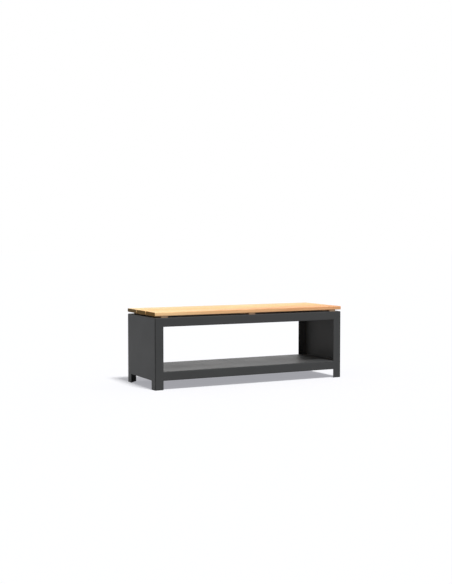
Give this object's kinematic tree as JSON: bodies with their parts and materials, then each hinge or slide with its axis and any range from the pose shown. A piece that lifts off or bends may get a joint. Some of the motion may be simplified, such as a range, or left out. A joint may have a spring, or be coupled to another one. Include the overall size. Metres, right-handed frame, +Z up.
{
  "type": "log store bench",
  "caption": "Low bench with an open store under its seat: a folded, coated sheet frame with closed ends, open front and back, and a slatted wooden seat on battens.",
  "frame": {"origin": "on the floor, under the middle of the bench", "axes": "+X along the bench to the right as seen from the front, -Y towards the front, +Z up"},
  "size_m": [1.2, 0.4, 0.425],
  "materials": {
    "powder_coated_sheet": "matte, fine-textured anthracite powder coat on steel sheet",
    "seat_wood": "planed light hardwood, oiled",
    "batten_wood": "planed hardwood, plain",
    "fixing_steel": "plain stainless steel"
  },
  "bodies": {
    "root": {"left_side_panel": "powder_coated_sheet", "right_side_panel": "powder_coated_sheet", "front_top_rail": "powder_coated_sheet", "back_top_rail": "powder_coated_sheet", "floor_tray": "powder_coated_sheet", "front_left_foot_plate": "powder_coated_sheet", "front_right_foot_plate": "powder_coated_sheet", "back_left_foot_plate": "powder_coated_sheet", "back_right_foot_plate": "powder_coated_sheet", "left_seat_batten": "batten_wood", "middle_seat_batten": "batten_wood", "right_seat_batten": "batten_wood", "front_seat_board": "seat_wood", "middle_seat_board": "seat_wood", "back_seat_board": "seat_wood", "left_board_screws": "fixing_steel", "left_coach_screws": "fixing_steel", "left_washers": "fixing_steel", "middle_board_screws": "fixing_steel", "middle_coach_screws": "fixing_steel", "middle_washers": "fixing_steel", "right_board_screws": "fixing_steel", "right_coach_screws": "fixing_steel", "right_washers": "fixing_steel"}
  },
  "joints": []
}
